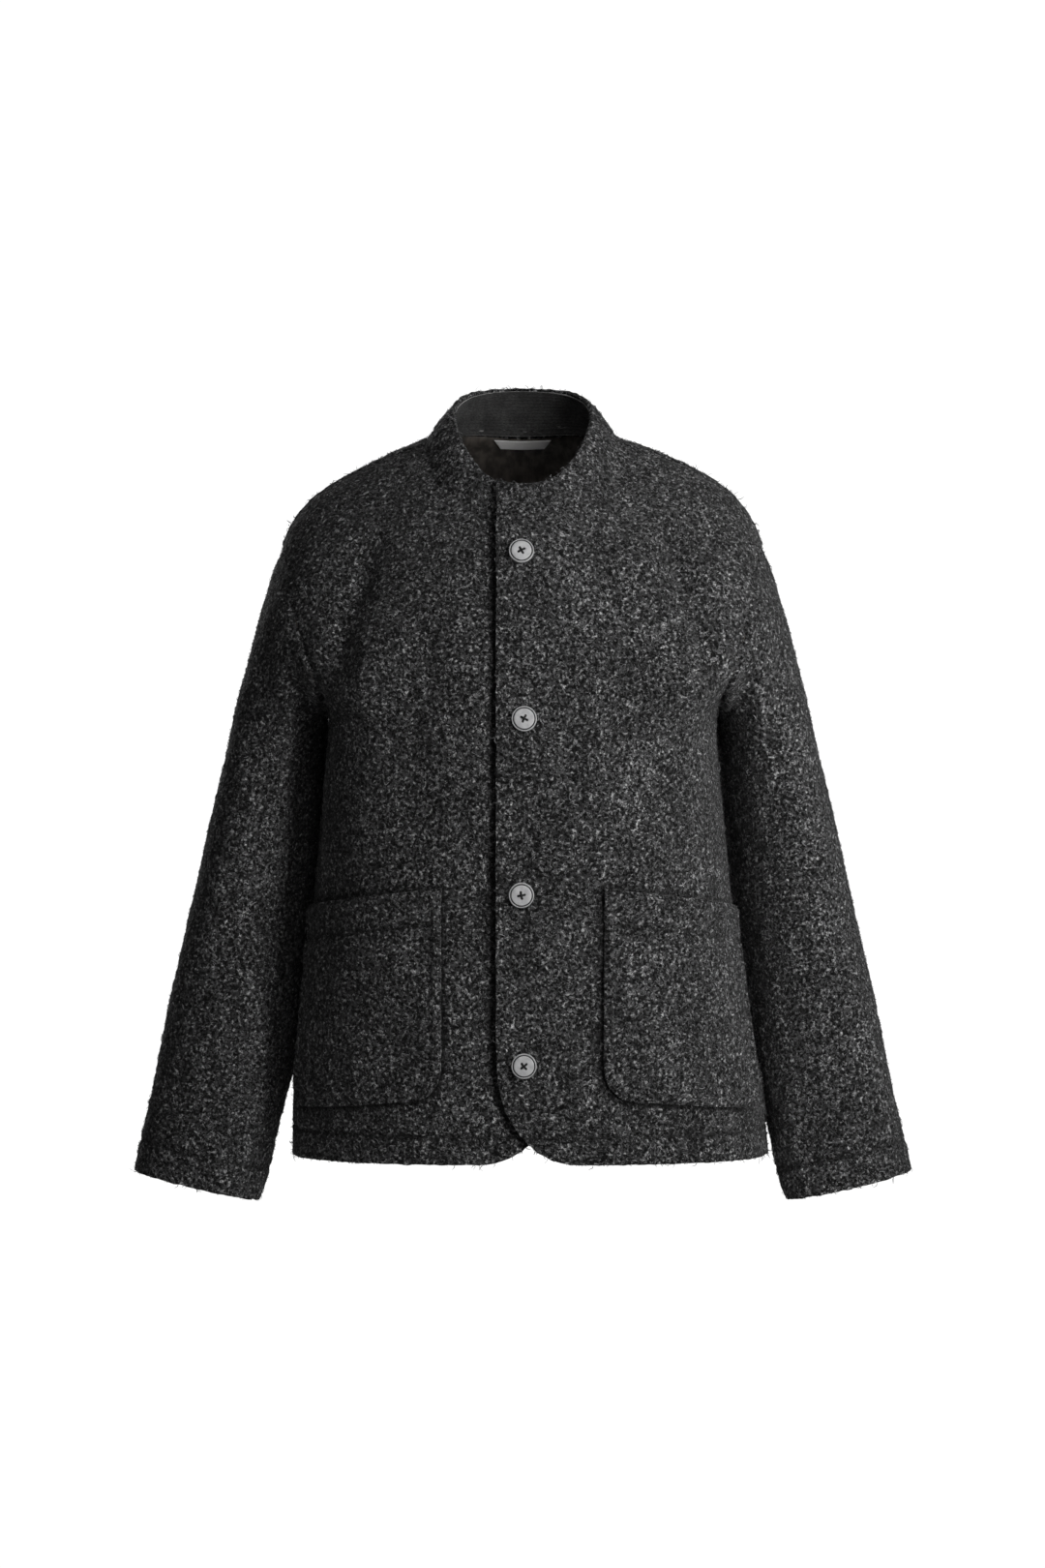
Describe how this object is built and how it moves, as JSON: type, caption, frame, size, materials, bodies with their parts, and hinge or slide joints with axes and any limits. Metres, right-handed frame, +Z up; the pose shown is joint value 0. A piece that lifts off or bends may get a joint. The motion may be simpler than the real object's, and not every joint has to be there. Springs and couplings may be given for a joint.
{
  "type": "jacket",
  "caption": "Short boxy wool jacket, hollow as worn, with a stand collar, buttoned front, patch pockets and long sleeves.",
  "frame": {"origin": "middle of the neck, level with the top of the shoulders, where the wearer's neck holds the jacket", "axes": "+Z up, -Y out of the front, +X to the wearer's left"},
  "size_m": [0.7358, 0.2669, 0.7738],
  "materials": {
    "wool": "charcoal melange wool boucle, matt and hairy",
    "ribbing": "dark horizontally ribbed facing, matt",
    "lining": "dark brown-black woven lining with a faint sheen",
    "label": "plain pale woven tape, bare",
    "button": "cool grey button, softly polished"
  },
  "bodies": {
    "root": {"front_left": "wool", "front_right": "wool", "back": "wool", "sleeve_left": "wool", "sleeve_right": "wool", "collar": "wool", "collar_facing": "ribbing", "lining": "lining", "label": "label", "pocket_left": "wool", "pocket_right": "wool", "button_1": "button", "button_2": "button", "button_3": "button", "button_4": "button"}
  },
  "joints": []
}
